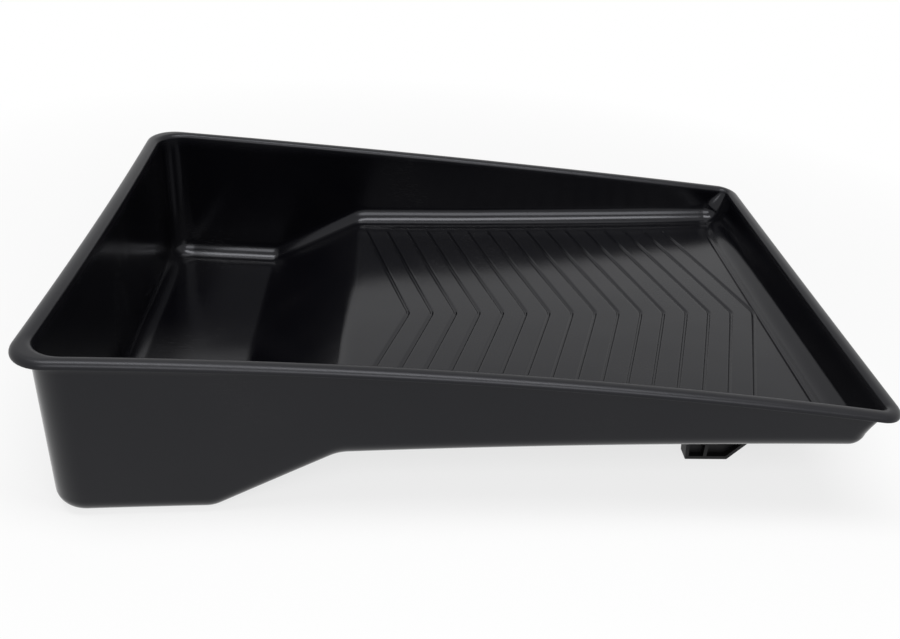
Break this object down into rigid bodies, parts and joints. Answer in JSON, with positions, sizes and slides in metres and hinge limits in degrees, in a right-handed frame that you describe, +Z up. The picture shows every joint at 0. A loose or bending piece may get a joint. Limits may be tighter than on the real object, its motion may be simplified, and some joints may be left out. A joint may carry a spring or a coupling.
{
  "type": "paint roller tray",
  "caption": "Deep-well roller tray: a thin plastic pan with a steep ramp, a long grooved deck, a turned-over lip and two short legs under its shallow end.",
  "frame": {"origin": "on the ground below the middle of the pan's rim", "axes": "+X from the deep well to the shallow end, +Y from the near side to the far side, +Z up out of the ground it stands on"},
  "size_m": [0.4174, 0.2887, 0.0916],
  "materials": {
    "pan_plastic": "semi-gloss moulded black plastic with a fine sheen, a little scuffed on the deck",
    "leg_plastic": "matt moulded black plastic"
  },
  "bodies": {
    "root": {"tray_shell": "pan_plastic", "near_leg": "leg_plastic", "far_leg": "leg_plastic"}
  },
  "joints": []
}
